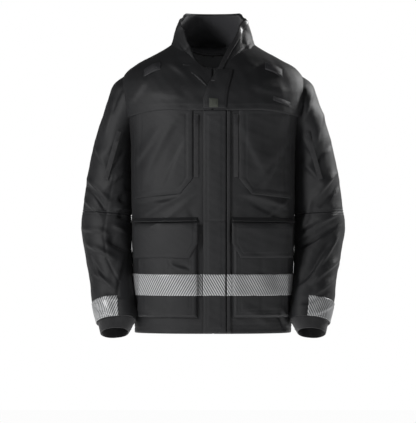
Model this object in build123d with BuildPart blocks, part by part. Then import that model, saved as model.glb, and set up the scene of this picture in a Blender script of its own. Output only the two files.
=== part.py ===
"""Responder's turnout coat, hip length, in the shape it takes when it is worn.

A waterproof shell of front and back panels with storm yokes over a lining, a stand collar, a hinged storm
flap over the front zip, bellows pockets with hinged flaps, reflective tape, and sleeves that lift at the
shoulder and bend at the elbow. Millimetres. The wearer faces -Y, and the wearer's right arm is at -X.
Heights in this script are above the hem; save() moves each piece so that the origin is the hang loop.
"""
from functools import lru_cache
import math
import os

from build123d import *

# ---------------------------------------------------------------- driving dimensions
COAT_LENGTH = 766            # hem to the top of the collar
FABRIC = 3                   # shell fabric with its padding
YOKE_THICK = 2.2
THIN = 1.4                   # single fabric, tape and webbing
GAP = 0.2                    # air between layers that are sewn on top of each other
SIDE_SEAM_Y = -6             # the seam between front and back, down the side and over the shoulder
SHOULDER_Z = 531             # where the storm flap stops and the upper placket starts

TAPE_LOW, TAPE_HIGH = 90, 141            # 51 mm reflective tape round the body
FLAP_EDGE, FLAP_HINGE = -24, 30.8        # free edge and hinge line of the storm flap
FLAP_BACK_Y, FLAP_FRONT_Y = -154.8, -157.8
FLAP_LOW, FLAP_HIGH = 4, 529
ZIP_LOW, ZIP_HIGH = 6, 527

CARGO_INNER_RIGHT, CARGO_INNER_LEFT = 37, 46
CARGO_OUTER = 178
CARGO_LOW, CARGO_HIGH = 38, 258
CARGO_DEPTH = 12
CARGO_FLAP_OUTER = 186
CARGO_FLAP_LOW, CARGO_FLAP_HIGH = 179, 265
CHEST_ZIP_X = 40
CHEST_ZIP_HIGH, CHEST_ZIP_LOW = 519, 370
CHEST_POCKET_LOW = 320

REACH = 400                  # longer than any cut has to be

# The loop that the coat hangs from, inside the back of the collar: the origin.
LOOP_Y, LOOP_Z = 66, 690
LOOP_WIDTH, LOOP_SPAN, LOOP_BOW = 8, 58, 7.6

# Body cross-sections: height, half width, front y, back y, and how far up an offset moves the section.
BODY_SECTIONS = [
    (0, 187, -150, 140, 0),
    (90, 193, -150, 138, 0),
    (200, 194, -150, 134, 0),
    (330, 196, -150, 137, 0),
    (450, 197, -150, 144, 0),
    (535, 209, -149, 141, 0),
    (580, 217, -133, 134, 0.2),
    (604, 214, -118, 126, 0.6),
    (628, 194, -102, 114, 0.9),
    (650, 154, -86, 101, 0.9),
    (672, 112, -66, 88, 0.9),
    (692, 84, -48, 78, 0.9),
]
BODY_POWER = 2.5             # of the superellipse: the front is flatter than an ellipse

# Collar cross-sections: height, half width, front y, back y.
COLLAR_SECTIONS = [
    (530, 112, -146, 88),
    (585, 112, -130, 89),
    (630, 111, -112, 89),
    (672, 107, -90, 87),
    (705, 92, -74, 80),
    (735, 79, -66, 75),
    (COAT_LENGTH, 68, -58, 68),
]
COLLAR_POWER = 2.1
THROAT = [(-12, 588), (-31, 621), (-43, 658), (-60, 706), (-68, 770),
          (68, 770), (56, 722), (45, 694), (28, 665), (6, 618)]

# Right sleeve, from inside the shoulder to the wrist: centre, half width seen from the front, half depth.
SLEEVE_STATIONS = [
    ((-165, 5, 600), 56, 66),
    ((-190, 5, 565), 58, 71),
    ((-222, 5, 510), 43, 70),
    ((-241, 4, 440), 46, 66),
    ((-250.5, 2, 365), 52, 63),
    ((-255, 0, 300), 56, 61),
    ((-257.5, -4, 250), 59, 59),
    ((-252, -18, 195), 55, 57),
    ((-246, -40, 130), 49, 53),
    ((-242.5, -60, 75), 46, 48),
    ((-238, -76, 30), 41, 43),
    ((-236, -88, 0), 36, 40),
]
# Planes across the sleeve: a point on each, and the way that it faces.
SHOULDER_END = ((-226, 5, 490), (-0.3, 0, -0.954))
ELBOW_SEAM = ((-255, 0, 285), (0, 0, -1))
ELBOW_END = ((-253, -14, 212), (0.08, -0.26, -0.96))
TAPE_START = ((-241, -61, 72), (0.05, -0.30, -0.95))
TAPE_END = ((-238, -77, 24), (0.05, -0.33, -0.94))
CUFF_START = ((-238, -74, 34), (0.05, -0.33, -0.94))
SLEEVE_TAPE_X = -226         # the sleeve tape stops at the front seam
SLEEVE_ZIP_TOP, SLEEVE_ZIP_LOW = (-224, -65.4, 480), (-256, -65.4, 366)

os.makedirs("parts", exist_ok=True)


def save(name, part):
    """Write one piece, moved so that the hang loop is the origin."""
    placed = Pos(0, -LOOP_Y, -LOOP_Z) * part
    placed.label = name
    export_step(placed, f"parts/{name}.step")


def save_pair(name, right_part):
    """Write a piece of the wearer's right side and its mirror image on the left."""
    save(f"{name}_right", right_part)
    save(f"{name}_left", mirror(right_part, about=Plane.YZ))


# ---------------------------------------------------------------- volumes that the pieces are cut from
def superellipse(half_width, front, back, power, count=16):
    """A superellipse that is as deep as front to back. All of them share their knots, so lofts stay light."""
    half_depth = (back - front) / 2
    points = []
    for step in range(count):
        angle = math.tau * (step + 0.5) / count
        cos, sin = math.cos(angle), math.sin(angle)
        x = half_width * math.copysign(abs(cos) ** (2 / power), cos)
        y = (front + back) / 2 + half_depth * math.copysign(abs(sin) ** (2 / power), sin)
        points.append(Vector(x, y))
    knots = [step / count for step in range(count + 1)]
    return Edge.make_spline(points, periodic=True, parameters=knots)


def spread(sections, step=45):
    """The same sections with more between them, so that a loft through them doesn't swing."""
    dense = []
    for below, above in zip(sections, sections[1:]):
        count = max(1, round((above[0] - below[0]) / step))
        for index in range(count):
            dense.append([low + (high - low) * index / count for low, high in zip(below, above)])
    return dense + [sections[-1]]


@lru_cache(maxsize=None)
def body_volume(amount):
    """The space inside the body of the coat, grown by an amount."""
    with BuildPart() as volume:
        for height, half_width, front, back, lift in spread(BODY_SECTIONS):
            with BuildSketch(Plane.XY.offset(height + lift * amount)):
                with BuildLine():
                    add(superellipse(half_width + amount, front - amount, back + amount, BODY_POWER))
                make_face()
        loft()
    return volume.part


@lru_cache(maxsize=None)
def collar_volume(amount):
    """The space inside the collar, grown by an amount."""
    with BuildPart() as volume:
        for height, half_width, front, back in COLLAR_SECTIONS:
            with BuildSketch(Plane.XY.offset(height)):
                with BuildLine():
                    add(superellipse(half_width + amount, front - amount, back + amount, COLLAR_POWER))
                make_face()
        loft()
    return volume.part


@lru_cache(maxsize=None)
def sleeve_volume(amount):
    """The space inside the right sleeve, grown by an amount."""
    last = len(SLEEVE_STATIONS) - 1
    with BuildPart() as volume:
        for index, (centre, half_width, half_depth) in enumerate(SLEEVE_STATIONS):
            before = Vector(*SLEEVE_STATIONS[max(index - 1, 0)][0])
            after = Vector(*SLEEVE_STATIONS[min(index + 1, last)][0])
            along = after - before
            with BuildSketch(Plane(origin=centre, x_dir=along.cross(Vector(0, 1, 0)), z_dir=along)):
                Ellipse(half_width + amount, half_depth + amount)
        loft()
    return volume.part


ARMHOLES = [sleeve_volume(GAP), mirror(sleeve_volume(GAP), about=Plane.YZ)]
NECK = [collar_volume(GAP)]


def flip(outline):
    """The outline on the other side of the centre."""
    return [(-x, z) for x, z in outline]


def patch(outline, inner, outer, trims=(), back=False):
    """A layer on the body between two offsets, inside an outline drawn on the front or back view."""
    start = Plane.XZ.offset(-SIDE_SEAM_Y)
    with BuildPart() as piece:
        with BuildSketch(start.offset(-GAP) if back else start):
            with BuildLine():
                Polyline(*outline, close=True)
            make_face()
        extrude(amount=-REACH if back else REACH)
        add(body_volume(outer), mode=Mode.INTERSECT)
        add(body_volume(inner), mode=Mode.SUBTRACT)
        for trim in trims:
            add(trim, mode=Mode.SUBTRACT)
    return piece.part


def cut_plane(place):
    """A plane across the sleeve."""
    point, facing = place
    return Plane(origin=point, z_dir=facing)


def sleeve_tube(inner, outer, start=None, end=None):
    """A layer of the right sleeve between two offsets and between two cuts."""
    with BuildPart() as tube:
        add(sleeve_volume(outer))
        add(sleeve_volume(inner), mode=Mode.SUBTRACT)
        if start:
            split(bisect_by=cut_plane(start), keep=Keep.TOP)
        if end:
            split(bisect_by=cut_plane(end), keep=Keep.BOTTOM)
    return tube.part


# ---------------------------------------------------------------- zips
def zip_track(plane, length, width=11, pitch=9):
    """Tape with a row of teeth, down from the plane's origin. The plane's z faces out of the coat."""
    with BuildPart(plane) as track:
        Box(width, length, 1, align=(Align.CENTER, Align.MAX, Align.MIN))
        with Locations(*[(0, -pitch * (step + 0.5), 0.8) for step in range(int(length / pitch))]):
            Box(4.4, pitch - 4, 1.4, align=(Align.CENTER, Align.CENTER, Align.MIN))
    return track.part


def zip_slider(plane, drop=8, pull=16):
    """A slider that straddles the teeth, with its pull hanging in front of it."""
    with BuildPart(plane) as slider:
        with Locations((0, -drop, 1.4)):
            Box(8, 12, 2.3, align=(Align.CENTER, Align.CENTER, Align.MIN))
            Box(5.4, 12, 1.3, align=(Align.CENTER, Align.CENTER, Align.MIN), mode=Mode.SUBTRACT)
        with Locations((0, -drop - 2, 3.7)):
            Box(4.4, pull, 0.7, align=(Align.CENTER, Align.MAX, Align.MIN))
            Box(4.4, 4, 0.7, align=(Align.CENTER, Align.CENTER, Align.MIN))
    return slider.part


def down_plane(top, low, out):
    """A plane at the top of a zip with y up its length and z out of the coat."""
    up = Vector(*top) - Vector(*low)
    return Plane(origin=top, x_dir=up.cross(Vector(*out)), z_dir=out)


# ---------------------------------------------------------------- body panels, yokes and lining
FRONT_OUTLINE = [(-1, 0), (-1, 760), (-300, 760), (-300, 0)]
save_pair("front_panel", patch(FRONT_OUTLINE, -FABRIC, 0, ARMHOLES + NECK))
save("back_panel", patch([(-300, 0), (300, 0), (300, 760), (-300, 760)], -FABRIC, 0, ARMHOLES + NECK, True))

# The yokes hang free along their lower edge, clear of the pockets below them.
YOKE_IN, YOKE_OUT = FABRIC + GAP, FABRIC + GAP + YOKE_THICK
YOKE_OUTLINE = [(-0.2, 530), (-44, 530), (-75, 529.5), (-113, 529), (-150, 525), (-200, 514), (-300, 480),
                (-300, 760), (-0.2, 760)]
save_pair("front_yoke", patch(YOKE_OUTLINE, YOKE_IN, YOKE_OUT, ARMHOLES + NECK))
BACK_YOKE_OUTLINE = [(-300, 500), (300, 500), (300, 760), (-300, 760)]
save("back_yoke", patch(BACK_YOKE_OUTLINE, YOKE_IN, YOKE_OUT, ARMHOLES + NECK, True))

with BuildPart() as body_lining:
    add(body_volume(-FABRIC - GAP))
    add(body_volume(-FABRIC - GAP - THIN), mode=Mode.SUBTRACT)
    for trim in ARMHOLES + NECK:
        add(trim, mode=Mode.SUBTRACT)
save("body_lining", body_lining.part)


# ---------------------------------------------------------------- collar and what hangs from it
def collar_band(inner, outer, clear):
    """A layer of the collar: above the shoulders, and outside the open V at the throat."""
    with BuildPart() as band:
        add(collar_volume(outer))
        add(collar_volume(inner), mode=Mode.SUBTRACT)
        add(body_volume(clear), mode=Mode.SUBTRACT)
        split(bisect_by=Plane.XY.offset(SHOULDER_Z + 20), keep=Keep.TOP)
        with BuildSketch(Plane.XZ):
            with BuildLine():
                Polyline(*THROAT, close=True)
            make_face()
        extrude(amount=REACH, mode=Mode.SUBTRACT)
    return band.part


COLLAR_CLEAR = YOKE_OUT + GAP
save("collar", collar_band(-FABRIC, 0, COLLAR_CLEAR))
save("collar_lining", collar_band(-FABRIC - GAP - THIN, -FABRIC - GAP, COLLAR_CLEAR))

# The zip goes on up the left edge of the open collar.
with BuildPart() as collar_zip:
    with BuildSketch(Plane.XZ):
        with BuildLine():
            Polyline((8, 620), (29, 665.5), (46, 694.5), (56, 717.5), (68, 746), (82, 746), (69, 714),
                     (58, 688), (41, 659), (22, 617), close=True)
        make_face()
    extrude(amount=REACH)
    add(collar_volume(GAP + THIN), mode=Mode.INTERSECT)
    add(collar_volume(GAP), mode=Mode.SUBTRACT)
    add(body_volume(12), mode=Mode.SUBTRACT)
save("collar_zip", collar_zip.part)

# The loop is webbing bowed away from the collar lining, so that a hook goes up behind it.
with BuildPart() as hang_loop:
    with BuildSketch(Plane.XY.offset(LOOP_Z - LOOP_WIDTH / 2)):
        with BuildLine() as bow:
            Spline((-LOOP_SPAN / 2, LOOP_Y + LOOP_BOW), (-LOOP_SPAN / 4, LOOP_Y + 2), (0, LOOP_Y),
                   (LOOP_SPAN / 4, LOOP_Y + 2), (LOOP_SPAN / 2, LOOP_Y + LOOP_BOW))
        trace(line_width=THIN)
    extrude(amount=LOOP_WIDTH)
save("hang_loop", hang_loop.part)

# ---------------------------------------------------------------- front: placket, storm flap, main zip
PLACKET_OUTLINE = [(-24, SHOULDER_Z + 0.5), (-24, 557), (-13, 587), (8, 620), (48, 620), (37, 575),
                   (32, SHOULDER_Z + 0.5)]
PLACKET_IN, PLACKET_OUT = YOKE_OUT + GAP, YOKE_OUT + GAP + FABRIC
save("upper_placket", patch(PLACKET_OUTLINE, PLACKET_IN, PLACKET_OUT, NECK))
MIC_TAB_OUTLINE = [(-9, 535), (12, 535), (12, 555), (-9, 557)]
save("mic_tab", patch(MIC_TAB_OUTLINE, PLACKET_OUT + GAP, PLACKET_OUT + GAP + THIN))

FLAP_HALF = (FLAP_BACK_Y - FLAP_FRONT_Y) / 2
HINGE_Y = (FLAP_BACK_Y + FLAP_FRONT_Y) / 2
with BuildPart() as storm_flap:
    with BuildSketch(Plane.XY.offset(FLAP_LOW)):
        with Locations(((FLAP_EDGE + FLAP_HINGE) / 2, HINGE_Y)):
            Rectangle(FLAP_HINGE - FLAP_EDGE, 2 * FLAP_HALF)
        with Locations((FLAP_HINGE, HINGE_Y)):
            Circle(FLAP_HALF)
    extrude(amount=FLAP_HIGH - FLAP_LOW)
save("storm_flap", storm_flap.part)


def plate(x_low, x_high, y_back, y_front, z_low, z_high):
    """A flat upright piece."""
    with BuildPart() as flat:
        with Locations(((x_low + x_high) / 2, (y_back + y_front) / 2, (z_low + z_high) / 2)):
            Box(x_high - x_low, y_back - y_front, z_high - z_low)
    return flat.part


save("storm_flap_base", plate(33, 42, -150.3, -154.6, FLAP_LOW, FLAP_HIGH))
save("storm_flap_tape", plate(FLAP_EDGE, 27.5, FLAP_FRONT_Y - GAP, FLAP_FRONT_Y - GAP - THIN, TAPE_LOW, TAPE_HIGH))
save("storm_flap_base_tape", plate(33, CARGO_INNER_LEFT - 1, -154.8, -156.2, TAPE_LOW, TAPE_HIGH))
save("storm_flap_hook_strip", plate(-23, -17, -153.6, -154.6, 30, 510))
save("storm_flap_loop_strip", plate(-24, -16, -150.3, -152, 30, 510))

MAIN_ZIP = Plane(origin=(0, -150.3, ZIP_HIGH), x_dir=(1, 0, 0), z_dir=(0, -1, 0))
save("main_zip", zip_track(MAIN_ZIP, ZIP_HIGH - ZIP_LOW, width=26))
save("main_zip_slider", zip_slider(MAIN_ZIP))

# ---------------------------------------------------------------- shoulder loops and badge tab
LOOP_OUTLINE = [(-168, 620), (-128, 640), (-120, 625), (-160, 605)]
LOOP_TUNNEL = [(-161, 640), (-137, 652), (-117, 610), (-151, 593)]
with BuildPart() as shoulder_loop:
    add(patch(LOOP_OUTLINE, YOKE_OUT + GAP, YOKE_OUT + GAP + 4.4))
    add(patch(LOOP_TUNNEL, YOKE_OUT, YOKE_OUT + GAP + 2.8), mode=Mode.SUBTRACT)
save_pair("shoulder_loop", shoulder_loop.part)
BADGE_OUTLINE = [(144, 552), (184, 538), (184, 548), (144, 562)]
save("badge_tab", patch(BADGE_OUTLINE, YOKE_OUT + GAP, YOKE_OUT + GAP + THIN))

# ---------------------------------------------------------------- chest pockets
def chest_pocket(inner_x):
    """A layer on the right of the chest whose lower inner corner is cut."""
    outline = [(-inner_x, 535), (-inner_x, 368), (-inner_x - 31, 330), (-186, CHEST_POCKET_LOW), (-186, 535)]
    return patch(outline, GAP, FABRIC, ARMHOLES)


save("chest_pocket_right", chest_pocket(47))
save("chest_pocket_left", mirror(chest_pocket(61), about=Plane.YZ))
chest_length = CHEST_ZIP_HIGH - CHEST_ZIP_LOW
CHEST_ZIP = down_plane((-CHEST_ZIP_X, -150.3, CHEST_ZIP_HIGH), (-CHEST_ZIP_X, -150.3, CHEST_ZIP_LOW), (0, -1, 0))
save("chest_zip_right", zip_track(CHEST_ZIP, chest_length))
save("chest_zip_slider_right", zip_slider(CHEST_ZIP))
LEFT_CHEST_ZIP = Plane(origin=(54, -148.6, CHEST_ZIP_HIGH), x_dir=(1, 0, 0), z_dir=(0, -1, 0))

# ---------------------------------------------------------------- bellows pockets, welts and flaps
def cargo_pocket(inner_x):
    """A hollow pocket on the right, open at the top."""
    low_corner = [(-inner_x, CARGO_LOW), (-inner_x, CARGO_HIGH), (-CARGO_OUTER, CARGO_HIGH),
                  (-CARGO_OUTER, CARGO_LOW)]
    inside = [(-inner_x - 3, CARGO_LOW + 3), (-inner_x - 3, CARGO_HIGH + 9),
              (-CARGO_OUTER + 3, CARGO_HIGH + 9), (-CARGO_OUTER + 3, CARGO_LOW + 3)]
    with BuildPart() as pocket:
        add(patch(low_corner, GAP, CARGO_DEPTH))
        add(patch(inside, GAP + 1.6, CARGO_DEPTH - 2.2), mode=Mode.SUBTRACT)
    return pocket.part


def flap_outline(inner_x):
    """A flap on the right with a cut corner."""
    return [(-inner_x, CARGO_FLAP_HIGH), (-inner_x, 215), (-inner_x - 20, CARGO_FLAP_LOW),
            (-CARGO_FLAP_OUTER, CARGO_FLAP_LOW), (-CARGO_FLAP_OUTER, CARGO_FLAP_HIGH - 3)]


def welt_outline(inner_x):
    """The strip over a pocket that its flap hangs from."""
    return [(-inner_x, CARGO_FLAP_HIGH + 0.6), (-CARGO_FLAP_OUTER, CARGO_FLAP_HIGH - 2.4),
            (-CARGO_FLAP_OUTER, CARGO_FLAP_HIGH + 5), (-inner_x, CARGO_FLAP_HIGH + 8)]


for side, inner_x in (("right", CARGO_INNER_RIGHT), ("left", CARGO_INNER_LEFT)):
    pieces = {
        "cargo_pocket": cargo_pocket(inner_x),
        "pocket_flap": patch(flap_outline(inner_x), CARGO_DEPTH + 1.8, CARGO_DEPTH + 4.4),
        "pocket_welt": patch(welt_outline(inner_x), GAP, CARGO_DEPTH - 2.2),
        "pocket_tape": patch([(-inner_x, TAPE_LOW), (-CARGO_OUTER, TAPE_LOW), (-CARGO_OUTER, TAPE_HIGH),
                              (-inner_x, TAPE_HIGH)], CARGO_DEPTH + GAP, CARGO_DEPTH + GAP + THIN),
    }
    for name, piece in pieces.items():
        save(f"{name}_{side}", piece if side == "right" else mirror(piece, about=Plane.YZ))

# ---------------------------------------------------------------- tape on the body, and the side vents
with BuildPart() as back_tape:
    with BuildSketch(Plane.XY.offset(TAPE_LOW)):
        with Locations((0, -70)):
            Rectangle(2 * REACH, REACH, align=(Align.CENTER, Align.MIN))
    extrude(amount=TAPE_HIGH - TAPE_LOW)
    add(body_volume(GAP + THIN), mode=Mode.INTERSECT)
    add(body_volume(GAP), mode=Mode.SUBTRACT)
save("back_tape", back_tape.part)
save("front_tape", plate(-36, -25, -150.2, -151.6, TAPE_LOW, TAPE_HIGH))

VENT_TOP, VENT_LOW = (-191.8, -28, 62), (-188, -28, 4)
VENT_ZIP = down_plane(VENT_TOP, VENT_LOW, (-1, 0, 0.066))
save_pair("side_vent_zip", zip_track(VENT_ZIP, 56))

# ---------------------------------------------------------------- sleeves
with BuildPart() as sleeve_cap:
    add(sleeve_tube(-FABRIC, 0, end=SHOULDER_END))
    add(body_volume(-FABRIC), mode=Mode.SUBTRACT)
save_pair("sleeve_cap", sleeve_cap.part)
save_pair("upper_sleeve", sleeve_tube(-FABRIC, 0, SHOULDER_END, ELBOW_SEAM))
save_pair("elbow_panel", sleeve_tube(-FABRIC, 0, ELBOW_SEAM, ELBOW_END))
save_pair("forearm_sleeve", sleeve_tube(-FABRIC, 0, ELBOW_END, TAPE_END))
save_pair("inner_cuff", sleeve_tube(-FABRIC - 2.6, -FABRIC - 0.6, CUFF_START))
with BuildPart() as sleeve_tape:
    add(sleeve_tube(GAP, GAP + THIN, TAPE_START, TAPE_END))
    split(bisect_by=Plane.YZ.offset(SLEEVE_TAPE_X), keep=Keep.BOTTOM)
save_pair("sleeve_tape", sleeve_tape.part)

sleeve_zip_length = (Vector(*SLEEVE_ZIP_TOP) - Vector(*SLEEVE_ZIP_LOW)).length
SLEEVE_ZIP = down_plane(SLEEVE_ZIP_TOP, SLEEVE_ZIP_LOW, (0, -1, 0))
save_pair("sleeve_zip", zip_track(SLEEVE_ZIP, sleeve_zip_length))
save_pair("sleeve_zip_slider", zip_slider(SLEEVE_ZIP))
save("chest_zip_left", zip_track(LEFT_CHEST_ZIP, chest_length))
save("chest_zip_slider_left", zip_slider(LEFT_CHEST_ZIP))
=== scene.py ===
"""Looks for the responder's turnout coat: cloth panels with folds, tape, zips and studio light."""
import math
import bmesh
import bpy
import numpy as np
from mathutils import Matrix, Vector


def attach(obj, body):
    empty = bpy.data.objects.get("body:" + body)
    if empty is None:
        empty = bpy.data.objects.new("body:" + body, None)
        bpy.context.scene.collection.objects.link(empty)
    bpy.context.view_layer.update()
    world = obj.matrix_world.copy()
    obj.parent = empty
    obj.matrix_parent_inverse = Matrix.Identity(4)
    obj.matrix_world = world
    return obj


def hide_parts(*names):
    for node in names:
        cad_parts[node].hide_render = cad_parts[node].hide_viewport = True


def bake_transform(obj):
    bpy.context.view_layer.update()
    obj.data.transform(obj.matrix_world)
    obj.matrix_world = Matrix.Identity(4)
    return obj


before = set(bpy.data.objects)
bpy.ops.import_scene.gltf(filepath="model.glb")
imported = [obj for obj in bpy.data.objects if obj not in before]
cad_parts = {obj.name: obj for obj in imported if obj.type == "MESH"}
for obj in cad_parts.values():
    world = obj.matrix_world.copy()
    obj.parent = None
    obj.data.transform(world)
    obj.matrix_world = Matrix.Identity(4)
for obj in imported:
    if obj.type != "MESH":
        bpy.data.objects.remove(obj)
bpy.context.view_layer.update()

# ------------------------------------------------------------------ shape of the coat, in mm above the hem
LOOP_Y, LOOP_Z = 66, 690            # the hang loop, which is the origin of the frame
BODY_POWER, COLLAR_POWER = 2.5, 2.1     # how square the body's and the collar's rings are
SHELL_TOP, YOKE_TOP = 560, 692
COLLAR_FOOT, COLLAR_TOP = 572, 766
TAPE_LOW, TAPE_HIGH = 90, 141       # the reflective band round the hem
SIDE = .2525                        # the turn where the side seam is
# height, half width, front y, back y, how far up an offset moves the section
BODY = np.array([
    (0, 187, -150, 140, 0), (90, 193, -150, 138, 0), (200, 194, -150, 134, 0), (330, 196, -150, 137, 0),
    (450, 197, -150, 144, 0), (535, 209, -149, 141, 0), (580, 217, -133, 134, .2), (604, 214, -118, 126, .6),
    (628, 194, -102, 114, .9), (650, 154, -86, 101, .9), (672, 112, -66, 88, .9), (692, 84, -48, 78, .9)], float)
COLLAR = np.array([
    (530, 112, -146, 88, 0), (585, 112, -130, 89, 0), (630, 111, -112, 89, 0), (672, 107, -90, 87, 0),
    (705, 92, -74, 80, 0), (735, 79, -66, 75, 0), (766, 68, -58, 68, 0)], float)
# right sleeve: centre, half width, half depth
SLEEVE = np.array([
    (-165, 5, 600, 56, 66), (-190, 5, 565, 58, 71), (-222, 5, 510, 43, 70), (-241, 4, 440, 46, 66),
    (-250.5, 2, 365, 52, 63), (-255, 0, 300, 56, 61), (-257.5, -4, 250, 59, 59), (-252, -18, 195, 55, 57),
    (-246, -40, 130, 49, 53), (-242.5, -60, 75, 46, 48), (-238, -76, 30, 41, 43), (-236, -88, 0, 36, 40)], float)


def unit_ring(power, count=16):
    """A closed smooth ring through a superellipse; ring(w) takes turns from the centre front, + to the left."""
    angle = 2 * np.pi * (np.arange(count) + .5) / count
    points = np.stack([np.sign(np.cos(angle)) * np.abs(np.cos(angle)) ** (2 / power),
                       np.sign(np.sin(angle)) * np.abs(np.sin(angle)) ** (2 / power)], 1)
    system = np.zeros((count, count))
    for k in range(count):
        system[k, (k - 1) % count], system[k, k], system[k, (k + 1) % count] = 1, 4, 1
    bend = np.linalg.solve(system, 6 * (np.roll(points, 1, 0) - 2 * points + np.roll(points, -1, 0)))

    def ring(w):
        s = (np.asarray(w, float) + .75 - .5 / count) % 1 * count
        k = np.floor(s).astype(int) % count
        t = (s - np.floor(s))[..., None]
        n = (k + 1) % count
        return ((1 - t) * points[k] + t * points[n]
                + (((1 - t) ** 3 - (1 - t)) * bend[k] + (t ** 3 - t) * bend[n]) / 6)
    return ring


BODY_RING, COLLAR_RING = unit_ring(BODY_POWER), unit_ring(COLLAR_POWER)
TURNS = np.linspace(-.25, .25, 401)
BODY_X, COLLAR_X = BODY_RING(TURNS)[:, 0], COLLAR_RING(TURNS)[:, 0]


def lerp_table(table, h, soft=7.0):
    """The table's columns at height h, with its corners rounded off."""
    h = np.asarray(h, float)
    return [sum(np.interp(h + o, table[:, 0], table[:, c]) for o in (-soft, 0, soft)) / 3 for c in (1, 2, 3, 4)]


def on_table(table, ring, w, h, d):
    """Points at turn w and height h, offset outwards by d."""
    a, front, back, lift = lerp_table(table, h)
    unit = ring(w)
    x = (a + d) * unit[..., 0]
    y = (front + back) / 2 + ((back - front) / 2 + d) * unit[..., 1]
    return np.stack([x, y, np.asarray(h, float) + lift * d], -1)


def turn_at(x, h, d=0.0, table=BODY, xs=BODY_X):
    """The turn on the front half where the surface has this x."""
    a = lerp_table(table, h)[0] + d
    return np.interp(np.clip(np.asarray(x, float) / a, -1, 1), xs, TURNS)


# ------------------------------------------------------------------ folds, in mm
# x and z of the right sleeve's front seam, from the top
SLEEVE_SEAM = ((-236, 375), (-253, 292), (-261, 238), (-253, 179), (-226, 120), (-228, 85))
# folds: x1, z1, x2, z2, half width, height
FRONT_FOLDS = [
    (-88, 505, -165, 352, 17, 5.0), (-128, 490, -186, 392, 12, 3.2), (-62, 470, -128, 340, 11, -2.4),
    (-40, 352, -184, 262, 9, 4.2), (-52, 336, -186, 300, 8, -3.2), (-36, 322, -150, 245, 8, 3.0),
    (-186, 318, -100, 300, 9, 2.6), (-60, 300, -38, 240, 7, -2.2),
    (-100, 172, -62, 148, 6, 3.0), (-86, 168, -52, 150, 5, -2.4), (-178, 60, -120, 28, 12, 3.0),
    (70, 500, 120, 380, 17, 3.6), (176, 470, 120, 350, 15, 4.0), (150, 420, 90, 330, 10, -2.6),
    (60, 330, 186, 296, 9, 3.6), (80, 310, 186, 262, 8, -3.0), (186, 330, 120, 270, 8, 3.0),
    (158, 60, 182, 10, 5, 3.2), (148, 48, 170, 6, 4, -2.6), (60, 60, 130, 25, 12, 2.4),
    (-150, 575, -60, 560, 16, 2.6), (90, 590, 170, 560, 16, 2.6), (-200, 545, -150, 600, 12, 2.0),
    (-110, 640, -40, 585, 9, 1.6), (60, 600, 110, 640, 9, 1.6),
    (-30, 480, 28, 430, 12, .8), (-26, 330, 30, 360, 10, .8), (-20, 200, 30, 230, 12, .8),
]
BACK_FOLDS = [
    (-170, 520, -60, 380, 18, 4.5), (170, 520, 70, 400, 18, 4.5), (-120, 380, 120, 330, 16, 4.0),
    (-150, 300, 60, 260, 13, 3.6), (150, 290, -40, 215, 13, 3.6), (-60, 480, 40, 440, 18, 2.4),
    (-170, 220, -30, 180, 11, 3.0), (170, 210, 40, 170, 11, 3.0), (-150, 60, -60, 30, 12, 3.0),
    (150, 60, 60, 24, 12, 3.0), (-120, 610, 120, 600, 20, 2.0), (-40, 560, 150, 545, 16, 2.0),
]
SLEEVE_FOLDS = {
    "right": [
        (-305, 352, -255, 285, 6, -5.0), (-300, 372, -248, 306, 7, 5.0), (-306, 322, -268, 268, 7, 4.5),
        (-226, 322, -190, 306, 11, -10.0), (-228, 274, -190, 268, 10, -10.0), (-236, 296, -186, 288, 8, 6.0),
        (-252, 222, -196, 200, 15, -12.0), (-240, 250, -198, 238, 7, 6.0), (-312, 250, -250, 232, 8, 4.0),
        (-300, 215, -236, 172, 8, 5.0), (-296, 190, -250, 128, 7, -4.0), (-212, 180, -240, 96, 8, 4.5),
        (-285, 140, -230, 100, 8, 4.0), (-270, 92, -215, 76, 6, 3.0), (-282, 66, -240, 40, 6, -2.4),
        (-236, 560, -262, 470, 11, 4.0), (-214, 590, -240, 520, 8, -3.4), (-215, 480, -252, 420, 9, 4.5),
        (-205, 440, -250, 392, 8, -4.0), (-284, 440, -236, 368, 9, 4.0), (-200, 392, -262, 340, 9, 4.5),
        (-214, 352, -192, 340, 9, -5.0),
    ],
    "left": [
        (222, 585, 204, 520, 7, -6.0), (236, 580, 214, 505, 8, 4.0), (262, 540, 246, 440, 11, 4.0),
        (297, 378, 236, 318, 9, 7.5), (236, 318, 206, 226, 8, 6.0), (304, 350, 250, 300, 7, -5.0),
        (302, 284, 204, 222, 8, 6.5), (300, 262, 214, 200, 6, -6.0), (304, 240, 250, 160, 8, 7.0),
        (297, 232, 198, 108, 9, -8.0), (300, 180, 236, 112, 8, 5.5), (222, 196, 200, 130, 8, 4.0),
        (292, 130, 226, 84, 8, 4.0), (272, 92, 214, 70, 6, -3.4), (206, 470, 252, 412, 9, 4.0),
        (282, 452, 240, 392, 9, -3.6), (212, 402, 262, 360, 9, 4.5), (286, 70, 236, 44, 6, 3.0),
    ],
}


def smooth(value, low, high):
    """A smooth step from 0 at low to 1 at high."""
    t = np.clip((value - low) / (high - low), 0, 1)
    return t * t * (3 - 2 * t)


def ridges(folds, x, z):
    """The sum of the folds at each point, each one fading out at its ends and sharper on its lower side."""
    total = np.zeros_like(x)
    for x1, z1, x2, z2, width, height in folds:
        dx, dz = x2 - x1, z2 - z1
        length = math.hypot(dx, dz)
        along = ((x - x1) * dx + (z - z1) * dz) / length
        across = ((x - x1) * -dz + (z - z1) * dx) / length
        across = across + 3.5 * np.sin(along / length * 3.0 + x1)
        fade = smooth(along, -.12 * length, .28 * length) * (1 - smooth(along, .72 * length, 1.12 * length))
        steep = np.where(across * (1 if dx < 0 else -1) > 0, .5 * width, 1.25 * width)
        total += height * fade * np.exp(-(across / steep) ** 2)
    return total


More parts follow.
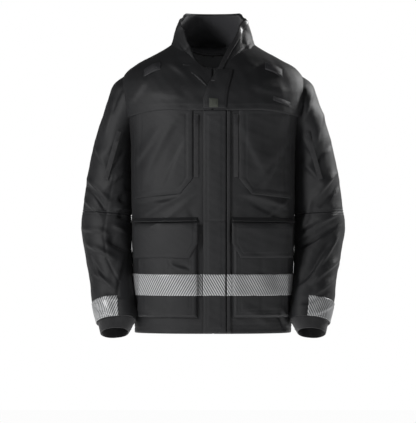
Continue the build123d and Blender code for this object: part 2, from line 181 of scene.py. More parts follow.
def ripple(x, y, z):
    """Gentle unevenness of cloth."""
    return (.55 * np.sin(x / 23 + 1.7 * np.sin(z / 41)) * np.sin(z / 29 + y / 37)
            + .35 * np.sin((x + z) / 11.3 + y / 17) * np.sin((x - z) / 17.9)
            + .22 * np.sin(x / 5.3 + z / 7.1) * np.sin(z / 6.2 - y / 5.7))


def body_fold(x, y, z):
    """How far folds push the body's cloth out; calmer in the middle of the front and at the neck."""
    front = smooth(-y, -20, 45)
    total = ridges(FRONT_FOLDS, x, z) * front + ridges(BACK_FOLDS, x, z) * (1 - front)
    centre = .2 + .8 * np.where(z > 355, smooth(np.abs(x), 56, 92), smooth(np.abs(x), 26, 60))
    calm = 1 - .85 * smooth(z, 640, 668)
    return (total * centre + ripple(x, y, z)) * calm


def beyond(points, table, power):
    """About how far points stand outside the body or the collar."""
    a, front, back, _ = lerp_table(table, points[..., 2])
    deep = (back - front) / 2
    x, y = np.abs(points[..., 0]), np.abs(points[..., 1] - (front + back) / 2)
    reach = ((x / a) ** power + (y / deep) ** power) ** (1 / power)
    return np.hypot(x, y) * (1 - 1 / np.maximum(reach, 1e-3))


def body_point(w, h, d, fold=1.0):
    """A point of the folded body at turn w and height h, offset outwards by d."""
    base = on_table(BODY, BODY_RING, w, h, 0)
    return on_table(BODY, BODY_RING, w, h, d + fold * body_fold(base[..., 0], base[..., 1], base[..., 2]))


COLLAR_FOLDS = [
    (-70, 662, -48, 705, 4, -2.4), (-84, 700, -62, 742, 6, 1.6), (74, 690, 60, 735, 5, -2.0),
    (-80, 696, -36, 616, 3, -2.6), (-80, 640, -46, 634, 4, 1.8), (92, 704, 40, 636, 3, -2.2),
    (88, 668, 70, 700, 6, 2.0),
]
COLLAR_SEAM = ((-110, -13, 8, 70, 108), (676, 580, 600, 652, 680))     # x and z where it meets the yokes
CLEAR_OF_YOKE = 8.8                 # how far the collar above its seam stands off the body


def collar_point(w, h, d):
    """A point of the collar, which bulges in its upper half and lies over the yokes in front."""
    base = on_table(COLLAR, COLLAR_RING, w, h, 0)
    x, y, z = base[..., 0], base[..., 1], base[..., 2]
    bulge = 5.5 * np.exp(-((z - 722) / 24) ** 2) + .6 * ripple(x * 1.3, y * 1.3, z)
    crease = ridges(COLLAR_FOLDS, x, z) * smooth(-y, -30, 10)
    over = smooth(z - np.interp(x, *COLLAR_SEAM), 0, 3) * smooth(-y, 0, 30)
    lift = np.clip(CLEAR_OF_YOKE - beyond(base, BODY, BODY_POWER), 0, 28) * over
    return on_table(COLLAR, COLLAR_RING, w, h, d + np.clip(bulge + crease, -3, 6) + lift)


def catmull(table, t):
    """Points of a table between its rows, smoothly."""
    t = np.clip(np.asarray(t, float), 0, len(table) - 1 - 1e-9)
    k = t.astype(int)
    f = (t - k)[..., None]
    p = [table[np.clip(k + o, 0, len(table) - 1)] for o in (-1, 0, 1, 2)]
    return p[1] + .5 * f * (p[2] - p[0] + f * (2 * p[0] - 5 * p[1] + 4 * p[2] - p[3]
                                               + f * (3 * (p[1] - p[2]) + p[3] - p[0])))


# height, and how much fuller the sleeve is there on the side that rests on the body
INNER_FULLNESS = ((0, 24, 45, 75, 130, 195, 300, 365, 440, 470), (4, 15, 15, 12, 5, 3, 5, 4, 1, 0))
SEAM_DEPTH, SEAM_WIDTH = 1.3, 2.2


def cap_sink(t):
    """How far the sleeve's head draws in, to end inside the shoulder."""
    return 15 * (1 - smooth(t, .15, 1.25))


def sleeve_point(turn, t, d, side):
    """A point on a sleeve: turn round it, from its outer edge through its front, and t rows down it."""
    here = catmull(SLEEVE, t)
    ahead, behind = catmull(SLEEVE, t + .3), catmull(SLEEVE, t - .3)
    along = ahead[..., :3] - behind[..., :3]
    along /= np.linalg.norm(along, axis=-1, keepdims=True)
    across = np.cross(along, np.array([0, 1.0, 0]))
    across /= np.linalg.norm(across, axis=-1, keepdims=True)
    deep = np.cross(along, across)
    cos, sin = np.cos(2 * np.pi * turn)[..., None], np.sin(2 * np.pi * turn)[..., None]

    def at(amount):
        amount = np.asarray(amount)[..., None] if np.ndim(amount) else amount
        return here[..., :3] - (here[..., 3:4] + amount) * cos * across + (here[..., 4:5] + amount) * sin * deep

    base = at(0.0)
    sign = 1 if side == "right" else -1
    x, y, z = base[..., 0] * sign, base[..., 1], base[..., 2]
    front = smooth(here[..., 1] - y, -35, 25)
    folds = SLEEVE_FOLDS[side]
    back = [(x1, z1 - 14, x2, z2 + 10, w, h * .8) for x1, z1, x2, z2, w, h in folds]
    amount = ridges(folds, x, z) * front + ridges(back, x, z) * (1 - front) + ripple(x, y, z)
    by_zip = (x + 224 + (480 - z) * .281) / 13
    amount = amount * (1 - .9 * np.exp(-by_zip ** 2) * front * smooth(z, 345, 372))
    for (x1, z1), (x2, z2) in zip(SLEEVE_SEAM, SLEEVE_SEAM[1:]):
        t_on = np.clip(((x - x1) * (x2 - x1) + (z - z1) * (z2 - z1)) / ((x2 - x1) ** 2 + (z2 - z1) ** 2), 0, 1)
        away = np.hypot(x - x1 - t_on * (x2 - x1), z - z1 - t_on * (z2 - z1))
        amount = amount - SEAM_DEPTH * np.exp(-(away / SEAM_WIDTH) ** 2) * front
    amount = np.clip(amount, -12, 8.5) * (1 - .75 * smooth(t, 10.0, 10.4)) * smooth(t, .2, 1.4)
    inner = smooth(cos[..., 0] * -1, .55, .95) * (z < 470)
    amount = amount * (1 - .85 * inner)
    full = np.interp(here[..., 2], *INNER_FULLNESS) * smooth(cos[..., 0] * -1, .1, .85)
    out = at(d + full + amount - cap_sink(t))
    out[..., 0] *= sign
    return out


# ------------------------------------------------------------------ meshes
def to_frame(points):
    """Points in mm above the hem to metres in the frame."""
    return (points - np.array([0, LOOP_Y, LOOP_Z])) / 1000.0


def make_mesh(name, verts, faces, uvs=None, smooth_shade=True):
    mesh = bpy.data.meshes.new(name)
    mesh.from_pydata([tuple(v) for v in verts], [], faces)
    mesh.validate()
    if uvs is not None:
        layer = mesh.uv_layers.new(name="cloth")
        index = np.zeros(len(mesh.loops), int)
        mesh.loops.foreach_get("vertex_index", index)
        layer.data.foreach_set("uv", np.asarray(uvs, float)[index].ravel())
    mesh.polygons.foreach_set("use_smooth", [smooth_shade] * len(mesh.polygons))
    mesh.update()
    piece = bpy.data.objects.new(name, mesh)
    bpy.context.collection.objects.link(piece)
    return piece


def closed_grid(name, top, bottom, material, body, nodes, wrap=False, keep=None):
    """A sheet of cloth with thickness from two grids of points in mm; keep says which cells stay."""
    nu, nv = top.shape[:2]
    cells_u = nu if wrap else nu - 1
    if keep is None:
        keep = np.ones((cells_u, nv - 1), bool)
    count = nu * nv
    verts = to_frame(np.concatenate([top.reshape(-1, 3), bottom.reshape(-1, 3)]))
    step_u = np.linalg.norm(np.diff(top, axis=0, append=top[:1] if wrap else top[-1:]), axis=-1)
    step_v = np.linalg.norm(np.diff(top, axis=1, append=top[:, -1:]), axis=-1)
    mid = nv // 2
    u = np.concatenate([[0], np.cumsum(step_u[:-1, mid])])[:, None] + np.zeros((nu, nv))
    v = np.cumsum(np.concatenate([np.zeros((nu, 1)), step_v[:, :-1]], 1), axis=1)
    uv = np.stack([u, v], -1).reshape(-1, 2) / 1000.0
    faces = []

    def idx(i, j):
        return (i % nu) * nv + j

    def kept(i, j):
        if j < 0 or j >= nv - 1:
            return False
        if wrap:
            return keep[i % cells_u, j]
        return 0 <= i < cells_u and keep[i, j]

    for i in range(cells_u):
        for j in range(nv - 1):
            if not keep[i, j]:
                continue
            a, b, c, e = idx(i, j), idx(i + 1, j), idx(i + 1, j + 1), idx(i, j + 1)
            faces.append((a, b, c, e))
            faces.append((a + count, e + count, c + count, b + count))
            for (p, q), beside in (((a, b), (i, j - 1)), ((b, c), (i + 1, j)),
                                   ((c, e), (i, j + 1)), ((e, a), (i - 1, j))):
                if not kept(*beside):
                    faces.append((q, p, p + count, q + count))
    used = sorted({k for f in faces for k in f})
    new = {old: k for k, old in enumerate(used)}
    faces = [tuple(new[k] for k in f) for f in faces]
    uvs = np.concatenate([uv, uv])[used]
    piece = make_mesh(name, verts[used], faces, uvs)
    fix_normals(piece)
    piece.data.materials.append(material)
    if nodes:
        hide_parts(*nodes)
    if body:
        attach(piece, body)
    return piece


def fix_normals(piece):
    """Outward faces on a closed mesh."""
    mesh = bmesh.new()
    mesh.from_mesh(piece.data)
    bmesh.ops.recalc_face_normals(mesh, faces=mesh.faces)
    mesh.to_mesh(piece.data)
    mesh.free()


def inside_sleeve(points, shrink):
    """Which points are deep inside either sleeve near the shoulder."""
    p = points.copy()
    p[..., 0] = -np.abs(p[..., 0])
    result = np.zeros(p.shape[:-1], bool)
    for t in np.arange(0, 4.0, .12):
        here = catmull(SLEEVE, t)
        along = catmull(SLEEVE, t + .3)[:3] - catmull(SLEEVE, t - .3)[:3]
        along /= np.linalg.norm(along)
        across = np.cross(along, [0, 1.0, 0])
        rel = p - here[:3]
        near = np.abs(rel @ along) < 7
        less = shrink + cap_sink(t)
        inside = ((rel @ across) / (here[3] - less)) ** 2 + (rel[..., 1] / (here[4] - less)) ** 2 < 1
        result |= near & inside
    return result


def inside_table(points, table, power, shrink):
    """Which points are deep inside the body or the collar."""
    a, front, back, _ = lerp_table(table, points[..., 2])
    x = np.abs(points[..., 0]) / np.maximum(a - shrink, 1)
    y = np.abs(points[..., 1] - (front + back) / 2) / np.maximum((back - front) / 2 - shrink, 1)
    return x ** power + y ** power < 1


def cell_centres(grid, wrap=False):
    """The middle of each cell of a grid of points."""
    if wrap:
        grid = np.concatenate([grid, grid[:1]])
    return (grid[1:, 1:] + grid[:-1, 1:] + grid[1:, :-1] + grid[:-1, :-1]) / 4


# ------------------------------------------------------------------ materials
def new_material(name, color, roughness, metallic=0.0, sheen=0.0, specular=0.5):
    mat = bpy.data.materials.new(name)
    mat.use_nodes = True
    shader = mat.node_tree.nodes["Principled BSDF"]
    shader.inputs["Base Color"].default_value = (*color, 1)
    shader.inputs["Roughness"].default_value = roughness
    shader.inputs["Metallic"].default_value = metallic
    shader.inputs["Sheen Weight"].default_value = sheen
    shader.inputs["Sheen Roughness"].default_value = .45
    shader.inputs["Specular IOR Level"].default_value = specular
    return mat, mat.node_tree, shader


def node(tree, kind, **inputs):
    """A shader node with its inputs set or linked, by name or as i0, i1 and so on."""
    made = tree.nodes.new(kind)
    for key, value in inputs.items():
        target = made.inputs[int(key[1:])] if key[0] == "i" and key[1:].isdigit() else made.inputs[key]
        if isinstance(value, bpy.types.NodeSocket):
            tree.links.new(value, target)
        else:
            target.default_value = value
    return made


def math_node(tree, op, a, b=0.0):
    """The output of a Math node on two sockets or numbers."""
    made = tree.nodes.new("ShaderNodeMath")
    made.operation = op
    for k, value in enumerate((a, b)):
        if isinstance(value, bpy.types.NodeSocket):
            tree.links.new(value, made.inputs[k])
        else:
            made.inputs[k].default_value = value
    return made.outputs[0]


def ramp(tree, fac, stops):
    """The output of a colour ramp with the given (place, colour) stops."""
    made = tree.nodes.new("ShaderNodeValToRGB")
    tree.links.new(fac, made.inputs[0])
    while len(made.color_ramp.elements) < len(stops):
        made.color_ramp.elements.new(.5)
    for element, (place, color) in zip(made.color_ramp.elements, stops):
        element.position = place
        element.color = (*color, 1)
    return made.outputs[0]


def cloth_material(name, color, roughness=.66, sheen=.03, thread=.0011, bump=.25, vary=.16):
    """Woven cloth: a fine cross weave, soft patches of wear, and roughness that follows them."""
    mat, tree, shader = new_material(name, color, roughness, sheen=sheen, specular=.32)
    coords = tree.nodes.new("ShaderNodeTexCoord")
    split = node(tree, "ShaderNodeSeparateXYZ", i0=coords.outputs["UV"])
    rate = 2 * math.pi / thread
    warp = math_node(tree, "SINE", math_node(tree, "MULTIPLY", split.outputs[0], rate))
    weft = math_node(tree, "SINE", math_node(tree, "MULTIPLY", split.outputs[1], rate))
    weave = math_node(tree, "MULTIPLY", warp, weft)
    cloudy = node(tree, "ShaderNodeTexNoise", Vector=coords.outputs["Object"], Scale=9.0, Detail=4.0)
    grain = node(tree, "ShaderNodeTexNoise", Vector=coords.outputs["Object"], Scale=420.0, Detail=3.0)
    low = tuple(c * (1 - vary) for c in color)
    high = tuple(c * (1 + vary * 1.3) for c in color)
    tone = math_node(tree, "ADD", math_node(tree, "MULTIPLY", cloudy.outputs[0], .7),
                     math_node(tree, "MULTIPLY", grain.outputs[0], .3))
    tree.links.new(ramp(tree, tone, [(.3, low), (.7, high)]), shader.inputs["Base Color"])
    rough = math_node(tree, "ADD", math_node(tree, "MULTIPLY", tone, .16), roughness - .08)
    tree.links.new(rough, shader.inputs["Roughness"])
    height = math_node(tree, "ADD", math_node(tree, "MULTIPLY", weave, .5), grain.outputs[0])
    lump = node(tree, "ShaderNodeBump", Height=height, Strength=bump, Distance=.0004)
    tree.links.new(lump.outputs[0], shader.inputs["Normal"])
    return mat


STRIPE_PITCH = .0052                # metres


def tape_material(name, painted_shade=0.0):
    """Silver stripes that lean on dark tape, with a fine grain of glass beads."""
    mat, tree, shader = new_material(name, (.4, .4, .4), .36, specular=.6)
    coords = tree.nodes.new("ShaderNodeTexCoord")
    split = node(tree, "ShaderNodeSeparateXYZ", i0=coords.outputs["UV"])
    lean = math_node(tree, "ADD", math_node(tree, "MULTIPLY", split.outputs[0], .866),
                     math_node(tree, "MULTIPLY", split.outputs[1], .5))
    wave = math_node(tree, "SINE", math_node(tree, "MULTIPLY", lean, 2 * math.pi / STRIPE_PITCH))
    beads = node(tree, "ShaderNodeTexNoise", Vector=coords.outputs["Object"], Scale=700.0, Detail=2.0)
    wear = node(tree, "ShaderNodeTexNoise", Vector=coords.outputs["Object"], Scale=14.0, Detail=3.0)
    # a darker silver here is painted shade, for tape on the side that the light reaches less
    silver = .44 * (1 - painted_shade)
    stripe = ramp(tree, math_node(tree, "ADD", math_node(tree, "MULTIPLY", wave, .5), .5),
                  [(.36, (.05, .052, .056)), (.5, (silver, silver * 1.01, silver * 1.02))])
    shade = ramp(tree, math_node(tree, "ADD", math_node(tree, "MULTIPLY", beads.outputs[0], .35),
                                 math_node(tree, "MULTIPLY", wear.outputs[0], .65)),
                 [(.3, (.72, .72, .72)), (.7, (1, 1, 1))])
    mix = tree.nodes.new("ShaderNodeMix")
    mix.data_type = "RGBA"
    mix.blend_type = "MULTIPLY"
    mix.inputs[0].default_value = 1.0
    tree.links.new(stripe, mix.inputs[6])
    tree.links.new(shade, mix.inputs[7])
    tree.links.new(mix.outputs[2], shader.inputs["Base Color"])
    height = math_node(tree, "ADD", math_node(tree, "MULTIPLY", wave, .6), beads.outputs[0])
    lump = node(tree, "ShaderNodeBump", Height=height, Strength=.25, Distance=.0003)
    tree.links.new(lump.outputs[0], shader.inputs["Normal"])
    return mat


def hard_material(name, color, roughness, metallic):
    """Moulded or painted hard parts, lightly scuffed."""
    mat, tree, shader = new_material(name, color, roughness, metallic=metallic)
    coords = tree.nodes.new("ShaderNodeTexCoord")
    scuff = node(tree, "ShaderNodeTexNoise", Vector=coords.outputs["Object"], Scale=260.0, Detail=4.0)
    rough = math_node(tree, "ADD", math_node(tree, "MULTIPLY", scuff.outputs[0], .25), roughness - .12)
    tree.links.new(rough, shader.inputs["Roughness"])
    tree.links.new(ramp(tree, scuff.outputs[0], [(.35, tuple(c * .8 for c in color)),
                                                 (.75, tuple(c * 1.5 for c in color))]),
                   shader.inputs["Base Color"])
    lump = node(tree, "ShaderNodeBump", Height=scuff.outputs[0], Strength=.15, Distance=.0003)
    tree.links.new(lump.outputs[0], shader.inputs["Normal"])
    return mat


SHELL = cloth_material("softshell", (.0074, .0076, .0085), roughness=.6)
YOKE_CLOTH = cloth_material("softshell_yoke", (.0072, .0074, .0083), roughness=.6)
LINING = cloth_material("lining_cloth", (.035, .036, .04), roughness=.5, thread=.0016)
FLEECE = cloth_material("collar_fleece", (.026, .026, .029), roughness=.85, sheen=.3, thread=.0022, bump=.5)
WEBBING = cloth_material("webbing_cloth", (.018, .018, .02), roughness=.55, thread=.0020, bump=.6)
# the mic tab's cloth: its olive tone is its own, and its lighter value is a painted highlight of light on the
# fold there
TAB_OLIVE_AND_HIGHLIGHT = cloth_material("tab_cloth_olive_painted_highlight", (.035, .038, .031), roughness=.7, thread=.0018, bump=.4)
KNIT = cloth_material("cuff_knit", (.011, .011, .012), roughness=.8, sheen=.2, thread=.0030, bump=.8)
TAPE = tape_material("reflective_stripes")
# a darker copy of the tape for the coat's left side, as painted shade
TAPE_SHADED = tape_material("reflective_stripes_painted_shade", painted_shade=.2)
ZIP = hard_material("zip_teeth", (.013, .013, .014), .42, 0.0)
METAL = hard_material("zip_slider_metal", (.03, .03, .032), .35, .6)
HOOKS = hard_material("hook_and_loop", (.014, .014, .015), .8, 0.0)

KEPT = {"hang_loop": WEBBING, "storm_flap_hook_strip": HOOKS, "storm_flap_loop_strip": HOOKS}
for name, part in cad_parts.items():
    if "slider" in name:
        KEPT[name] = METAL
    elif name.endswith("_zip") or "_zip_" in name:
        KEPT.setdefault(name, ZIP)
for name, material in KEPT.items():
    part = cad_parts[name]
    part.data.materials.clear()
    part.data.materials.append(material)


# ------------------------------------------------------------------ body of the coat
def groove(distance, width=1.6, depth=.9):
    """A line of stitching that pulls the cloth in."""
    return -depth * np.exp(-(distance / width) ** 2)


def body_sheet(name, w0, w1, low, high, d_in, d_out, material, nodes, step=4.0, stitches=(), edge=0.0):
    """A sheet on the body between two turns, from height low to high. low may be a function of the turn."""
    cols = max(6, int(abs(w1 - w0) * 1120 / step))
    w = np.linspace(w0, w1, cols)[:, None]
    floor = low(w) if callable(low) else low + 0 * w
    rows = max(6, int((high - floor.min()) / step))
    h = floor + (high - floor) * np.linspace(0, 1, rows)[None, :]
    w = w + 0 * h
    relief = sum(groove(h - floor - place) for place in stitches) if stitches else 0 * h
    if edge:
        relief = relief - (d_out - d_in) * .8 * (1 - smooth(h - floor, 0, edge))
    top = body_point(w, h, d_out + relief)
    bottom = body_point(w, h, d_in)
    centres = cell_centres(body_point(w, h, 0, 0))
    keep = ~(inside_sleeve(centres, 8) & (centres[..., 2] > 505))
    keep &= ~(inside_table(centres, COLLAR, COLLAR_POWER, 10) & (centres[..., 2] > 560))
    return closed_grid(name, top, bottom, material, "coat_body", nodes, keep=keep)


def yoke_edge(w):
    """The curved lower edge of the front yokes."""
    x = np.abs(on_table(BODY, BODY_RING, w, 525 + 0 * w, 0)[..., 0])
    return np.interp(x, [0, 24, 75, 113, 150, 200, 215], [526, 527, 529, 529, 525, 514, 508])


CENTRE_GAP = .0006                  # the turn that each front panel starts at
SIDES = (("right", -1), ("left", 1))
for side, sign in SIDES:
    body_sheet(f"front_shell_{side}", sign * CENTRE_GAP, sign * SIDE, 0, SHELL_TOP, -2.4, 0, SHELL,
               [f"front_panel_{side}"], stitches=(12, 20))
    body_sheet(f"storm_yoke_{side}", sign * CENTRE_GAP, sign * SIDE, yoke_edge, YOKE_TOP, 3.2, 5.6, YOKE_CLOTH,
               [f"front_yoke_{side}"], step=3.0, stitches=(6, 11), edge=2.5)
body_sheet("back_shell", SIDE, 1 - SIDE, 0, SHELL_TOP, -2.4, 0, SHELL, ["back_panel"],
           stitches=(12, 20))
body_sheet("back_storm_yoke", SIDE, 1 - SIDE, 500, YOKE_TOP, 3.2, 5.6, YOKE_CLOTH,
           ["back_yoke"], stitches=(6, 11), step=3.0, edge=2.5)
body_sheet("body_lining_cloth", 0, 1, 4, 690, -4.6, -3.4, LINING, ["body_lining"], step=7.0)


def patch(name, inner, outer, low, high, d_in, d_out, material, body, nodes, step=2.5, edge=3.0,
          stitches=(), open_top=False, thick=None, crown=0.0, shape=None):
    """A shaped sheet on the front, between two edges x = inner(h), outer(h) and two edges h = low(p), high(p).

    It rises from d_in to d_out within edge mm of its border, crown mm more in its middle, and shape adds to that.
    """
    def value(f, at):
        return f(at) if callable(f) else f + 0 * at

    half = np.array([.5])
    middle = np.array((value(low, half)[0] + value(high, half)[0]) / 2)
    width = abs(float(value(outer, middle) - value(inner, middle)))
    cols = max(8, int(width * 1.12 / step))
    p = np.linspace(0, 1, cols)[:, None]
    bottom_h, top_h = value(low, p), value(high, p)
    rows = max(8, int(float((top_h - bottom_h).max()) / step))
    q = np.linspace(0, 1, rows)[None, :]
    h = bottom_h + (top_h - bottom_h) * q
    p = p + 0 * h
    x_in, x_out = value(inner, h), value(outer, h)
    x = x_in + (x_out - x_in) * p
    span = np.abs(x_out - x_in)
    side = np.minimum(p, 1 - p) * span
    border = np.minimum(side, h - bottom_h)
    if not open_top:
        border = np.minimum(border, top_h - h)
    rise = np.clip(border / edge, 0, 1)
    d = d_in + (d_out - d_in) * np.sqrt(np.clip(1 - (1 - rise) ** 2, .02, 1))
    d = d + crown * smooth(border, 0, .35 * width)
    for place in stitches:
        d = d + groove(border - place, 1.5, .8)
    if shape is not None:
        d = d + shape(p, (h - bottom_h) / (top_h - bottom_h), border)
    w = turn_at(x, h, (d_in + d_out) / 2)
    under = np.maximum(d - thick, d_in) if thick else np.full_like(d, d_in)
    under = np.minimum(under, d - .25)
    return closed_grid(name, body_point(w, h, d), body_point(w, h, under), material, body, nodes)


def through(*points):
    """Straight lines between (h, x) points."""
    hs, xs = zip(*points)
    return lambda h: np.interp(h, hs, xs)


# ------------------------------------------------------------------ placket, storm flap and their tape
patch("placket_top", through((531, -24), (557, -24), (587, -13), (622, 9)),
      through((531, 32), (575, 37), (622, 49)), 531.5, 622, 5.6, 8.9, SHELL, "coat_body",
      ["upper_placket"], stitches=(4.5,))
# the mic tab, whose lighter colour is partly a painted highlight
patch("mic_patch", through((535, -9), (557, -9)), 12.0, 535, lambda p: 556.5 - 1.5 * p, 9.0, 10.6, TAB_OLIVE_AND_HIGHLIGHT,
      "coat_body", ["mic_tab"], step=1.2, edge=1.2, stitches=(2.4,))
FLAP_LOW, FLAP_HIGH, WAIST = 1, 529, 267      # the storm flap's ends, and the seam across it
patch("storm_flap_cloth", -24.0, 31.0, FLAP_LOW, FLAP_HIGH, 5.0, 8.1, SHELL, "storm_flap",
      ["storm_flap"], stitches=(4.5, 10), crown=.8,
      shape=lambda p, q, border: groove(FLAP_LOW + (FLAP_HIGH - FLAP_LOW) * q - WAIST, 1.6, 1.1))
patch("storm_flap_seam_cloth", 31.5, 42.0, FLAP_LOW, FLAP_HIGH, .4, 5.6, SHELL, "coat_body",
      ["storm_flap_base"], stitches=(3.5,))
patch("storm_flap_stripes", -24.3, 29.0, TAPE_LOW, TAPE_HIGH, 8.3, 9.6, TAPE, "storm_flap",
      ["storm_flap_tape"], step=2, edge=1.0)
patch("storm_flap_seam_stripes", 32.6, 45.4, TAPE_LOW, TAPE_HIGH, 5.6, 6.8, TAPE,
      "coat_body", ["storm_flap_base_tape"], step=2, edge=1.0)
patch("front_stripes", -36.6, -24.8, TAPE_LOW, TAPE_HIGH, .3, 1.6, TAPE, "coat_body",
      ["front_tape"], step=2, edge=1.0)

# ------------------------------------------------------------------ pockets
# per side: x of the chest pocket's inner edge, its height off the body and its edge's roll, x of the lower
# pocket's inner edge, how much its tape waves, and the tape, which on the left is a darker copy as painted shade
POCKETS = {"right": (47, 3.0, 3.0, 37.0, .3, TAPE), "left": (61, 2.2, 7.0, 46.0, 1.2, TAPE_SHADED)}
POCKET_WIDTH = 145
FLAP_FOOT = 179


def pocket_slack(p, q, border):
    """The pocket's face sags in its middle and has a pleat down it."""
    return 2.2 * np.sin(np.pi * np.clip(q, 0, 1)) * np.sin(np.pi * p) - 1.5 * np.exp(-((p - .5) / .05) ** 2)


def flap_drop(p, q, border):
    """The flap bends back into the welt at its top and waves a little at its foot."""
    return -3.2 * smooth(q, .86, 1.0) + .9 * np.sin(9 * p + 4 * q) * (1 - q) ** 2


for side, sign in SIDES:
    zip_x, chest_out, chest_edge, inner, wave, tape = POCKETS[side]
    patch(f"chest_pocket_cloth_{side}",
          lambda h: sign * np.interp(h, [320, 330, 368, 535], [zip_x + 38, zip_x + 31, zip_x, zip_x]),
          sign * 187.0, lambda p: 330 - 11 * p, 536, .2, chest_out, SHELL, "coat_body",
          [f"chest_pocket_{side}"], stitches=(4, 16), step=3, edge=chest_edge)
    patch(f"cargo_pocket_cloth_{side}", sign * inner, sign * 178.0, 38, 258, .3, 11.6, SHELL, "coat_body",
          [f"cargo_pocket_{side}"], edge=7, stitches=(11, 17), open_top=True, thick=2.0, shape=pocket_slack)

    def wrap_round(p, q, border):
        """The tape follows the pocket's face and turns down both of its sides."""
        far = np.clip((1 - p) * POCKET_WIDTH / 8, 0, 1)
        near = np.clip(p * POCKET_WIDTH / 6, 0, 1)
        return (2.0 * np.sin(np.pi * (.24 + .22 * q)) * np.sin(np.pi * p) + wave * np.sin(13 * p + 1.5 * q)
                - 12.8 * (1 - np.sqrt(1 - (1 - far) ** 2)) - 7.0 * (1 - np.sqrt(1 - (1 - near) ** 2)))

    patch(f"cargo_stripes_{side}", sign * (inner - .4), sign * 183.0, TAPE_LOW, TAPE_HIGH, 12.2, 13.6, tape,
          "coat_body", [f"pocket_tape_{side}"], edge=1.0, step=2, thick=1.4, shape=wrap_round)
    patch(f"pocket_flap_cloth_{side}",
          lambda h: sign * np.interp(h, [FLAP_FOOT, 215, 265], [inner + 20, inner - 1, inner - 1]),
          sign * 190.0, FLAP_FOOT, lambda p: 264.0 - 2.5 * p, 13.9, 16.6, SHELL,
          f"pocket_flap_{side}", [f"pocket_flap_{side}"], stitches=(4, 10), shape=flap_drop)
    patch(f"pocket_welt_cloth_{side}", sign * (inner - 1), sign * 194.0, lambda p: 264.6 - 2.6 * p,
          lambda p: 277 - 2.6 * p, .3, 10.6, SHELL, "coat_body", [f"pocket_welt_{side}"], step=2, edge=2,
          shape=lambda p, q, border: -9.6 * smooth(q, .1, 1.0))

# ------------------------------------------------------------------ tape round the sides and the back
w, h = np.meshgrid(np.linspace(.176, .824, 320), np.linspace(TAPE_LOW, TAPE_HIGH, 22), indexing="ij")
closed_grid("back_stripes", body_point(w, h, 1.7), body_point(w, h, .3), TAPE, "coat_body",
            ["back_tape"])

# ------------------------------------------------------------------ collar
COLLAR_LENGTH = 560
RIGHT_EDGE = through((575, -9), (588, -12), (621, -31), (658, -43), (706, -60), (766, -68))
LEFT_EDGE = through((575, -9), (588, -11), (618, 6), (665, 28), (694, 45), (722, 56), (766, 68))


def collar_band(name, d_in, d_out, material, nodes, widen=0.0, top=COLLAR_TOP, step=3.0):
    """A layer of the open collar, from its right front edge round the neck to its left one."""
    rows = int((top - COLLAR_FOOT) / step)
    h = np.linspace(COLLAR_FOOT, top, rows)[None, :]
    start = turn_at(RIGHT_EDGE(h) - widen, h, d_out, COLLAR, COLLAR_X)
    end = turn_at(LEFT_EDGE(h) + widen, h, d_out, COLLAR, COLLAR_X)
    u = np.linspace(0, 1, 190)[:, None]
    w = start - u * (start - end + 1)
    h = h + 0 * w
    side = np.minimum(u, 1 - u) * COLLAR_LENGTH + 0 * h
    droop = 1 - .06 * np.exp(-(side / 38) ** 2)         # the front corners hang a little lower
    h, top = COLLAR_FOOT + (h - COLLAR_FOOT) * droop, COLLAR_FOOT + (top - COLLAR_FOOT) * droop
    border = np.minimum(side, top - h)
    roll = np.sqrt(np.clip(1 - (1 - np.clip(border / 3, 0, 1)) ** 2, .02, 1))
    d = d_in + (d_out - d_in) * roll + groove(border - 7, 1.6, .8) + groove(border - 12, 1.6, .6)
    grid = collar_point(w, h, d)
    centres = cell_centres(grid)
    keep = ~(inside_table(centres, BODY, BODY_POWER, 6) & (centres[..., 2] < 688))
    return closed_grid(name, grid, collar_point(w, h, d_in), material, "coat_body", nodes, keep=keep)


collar_band("collar_cloth", -2.8, 0, SHELL, ["collar"])
collar_band("collar_fleece", -4.8, -3.2, FLEECE, ["collar_lining"], widen=1.5, top=762.0)
u, h = np.meshgrid(np.linspace(0, 1, 8), np.linspace(598, 746, 60), indexing="ij")
w = turn_at(LEFT_EDGE(h) + 1 + 12 * u, h, 1, COLLAR, COLLAR_X)
closed_grid("collar_zip_tape", collar_point(w, h, 1.8), collar_point(w, h, .4), ZIP, "coat_body",
            ["collar_zip"])

# ------------------------------------------------------------------ shoulder loops and badge tab
for side, sign in SIDES:
    patch(f"shoulder_loop_cloth_{side}", sign * 124.0, sign * 165.0, lambda p: 622 - 17 * p,
          lambda p: 639 - 17 * p, 5.8, 7.6, WEBBING, "coat_body", [f"shoulder_loop_{side}"], step=1.5,
          edge=1.5, stitches=(3,), shape=lambda p, q, border: 2.4 * np.sin(np.pi * p), thick=1.6)
patch("badge_tab_cloth", 144.0, 184.0, lambda p: 552 - 14 * p, lambda p: 562 - 14 * p, 5.9, 7.4, WEBBING,
      "coat_body", ["badge_tab"], step=1.5, edge=1.2, stitches=(2.5,))


ROW = 55                            # mm from one row of the sleeve's table to the next, about


def sleeve_sheet(name, t0, t1, d_in, d_out, material, side, nodes, rows, cols=96, turns=None, rim=2.6):
    """A tube of cloth round the arm, or part of one, whose ends roll in at their seams."""
    turn = (np.arange(cols) / cols if turns is None else np.linspace(*turns, cols))[:, None]
    t = np.linspace(t0, t1, rows)[None, :] + 0 * turn
    turn = turn + 0 * t
    gap = np.minimum(t - t0, t1 - t) * ROW
    d = d_out - (d_out - d_in) * .7 * (1 - smooth(gap, 0, rim)) + groove(gap - 6, 1.8, .9)
    top, bottom = sleeve_point(turn, t, d, side), sleeve_point(turn, t, 0 * t + d_in, side)
    keep = None
    if t0 < 1:
        keep = ~inside_table(cell_centres(top, wrap=turns is None), BODY, BODY_POWER, 8)
    return closed_grid(name, top, bottom, material, None, nodes, wrap=turns is None, keep=keep)


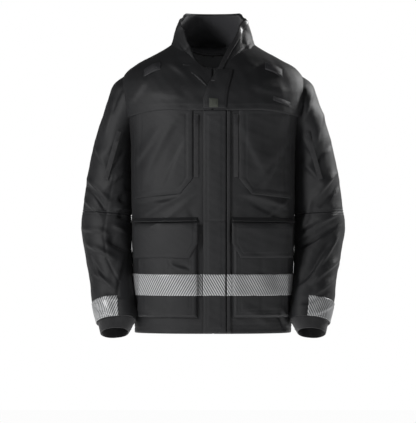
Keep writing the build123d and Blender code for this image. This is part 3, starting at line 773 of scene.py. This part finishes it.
HEAD, ELBOW = .2, 5.3               # rows of the sleeve's table where its two parts start
for side, sign in SIDES:
    upper = sleeve_sheet(f"upper_sleeve_cloth_{side}", HEAD, ELBOW, -2.4, 0, SHELL, side,
                         [f"sleeve_cap_{side}", f"upper_sleeve_{side}"], rows=120, cols=128)
    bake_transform(upper)
    gusset = sleeve_sheet(f"armhole_gusset_{side}", HEAD, 4.9, -4.6, -3.2, SHELL, side, [], rows=90)
    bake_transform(gusset)
    lower = sleeve_sheet(f"forearm_sleeve_cloth_{side}", ELBOW, 10.14, -2.4, 0, SHELL, side,
                         [f"elbow_panel_{side}", f"forearm_sleeve_{side}"], rows=120, cols=128)
    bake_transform(lower)
    cuff = sleeve_sheet(f"inner_cuff_knit_{side}", 9.9, 10.97, -5.6, -3.9, KNIT, side,
                        [f"inner_cuff_{side}"], rows=26)
    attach(cuff, f"forearm_{side}")
    # on the left this band is the darker tape, as painted shade
    band = sleeve_sheet(f"sleeve_stripes_{side}", 9.04, 10.1, .4, 1.8, POCKETS[side][-1],
                        side, [f"sleeve_tape_{side}"], rows=24, cols=60, turns=(-.304, .304))
    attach(band, f"forearm_{side}")


# ------------------------------------------------------------------ studio
def area_light(name, place, aim, size, watts):
    data = bpy.data.lights.new(name, "AREA")
    data.shape, data.size, data.energy = "SQUARE", size, watts
    lamp = bpy.data.objects.new(name, data)
    bpy.context.collection.objects.link(lamp)
    lamp.location = place
    lamp.rotation_euler = (Vector(aim) - Vector(place)).to_track_quat("-Z", "Y").to_euler()


def stage_plane(name, corners, color, emission):
    piece = make_mesh(name, corners, [(0, 1, 2, 3)], smooth_shade=False)
    mat, _, shader = new_material(name + "_paper", color, .9)
    shader.inputs["Emission Color"].default_value = (1, 1, 1, 1)
    shader.inputs["Emission Strength"].default_value = emission
    piece.data.materials.append(mat)


CAMERA_X, CAMERA_Z = -.012, (289 - LOOP_Z) / 1000
MIDDLE = (CAMERA_X, -.2, -.40)      # where the lights aim
FLOOR = -1.35
stage_plane("floor", [(-9, -12, FLOOR), (9, -12, FLOOR), (9, 9, FLOOR), (-9, 9, FLOOR)], (.9, .9, .9), .95)
area_light("key", (-1.7, -1.85, .4), MIDDLE, .6, 47)
area_light("fill", (2.2, -2.6, .3), MIDDLE, 1.6, 3)
area_light("rim", (1.6, .9, .6), MIDDLE, .5, 38)

world = bpy.data.worlds.new("studio")
bpy.context.scene.world = world
world.use_nodes = True
tree = world.node_tree
around, seen = tree.nodes["Background"], tree.nodes.new("ShaderNodeBackground")
for background, strength in ((around, .025), (seen, 1.0)):      # what lights the coat, and what shows behind it
    background.inputs[0].default_value = (1, 1, 1, 1)
    background.inputs[1].default_value = strength
either = tree.nodes.new("ShaderNodeMixShader")
tree.links.new(tree.nodes.new("ShaderNodeLightPath").outputs["Is Camera Ray"], either.inputs[0])
tree.links.new(around.outputs[0], either.inputs[1])
tree.links.new(seen.outputs[0], either.inputs[2])
tree.links.new(either.outputs[0], tree.nodes["World Output"].inputs[0])
bpy.context.scene.view_settings.view_transform = "Standard"

DISTANCE, WIDE = 9.0, .982          # from the coat's front, and the width that the frame takes in there
FRONT_Y = (-150 - LOOP_Y) / 1000
camera_data = bpy.data.cameras.new("camera")
camera_data.sensor_fit = "HORIZONTAL"
camera_data.sensor_width = 36
camera_data.lens = camera_data.sensor_width * DISTANCE / WIDE
camera_data.clip_end = 60
camera = bpy.data.objects.new("camera", camera_data)
bpy.context.collection.objects.link(camera)
camera.location = (CAMERA_X, FRONT_Y - DISTANCE, CAMERA_Z)
camera.rotation_euler = (math.pi / 2, 0, 0)
bpy.context.scene.camera = camera
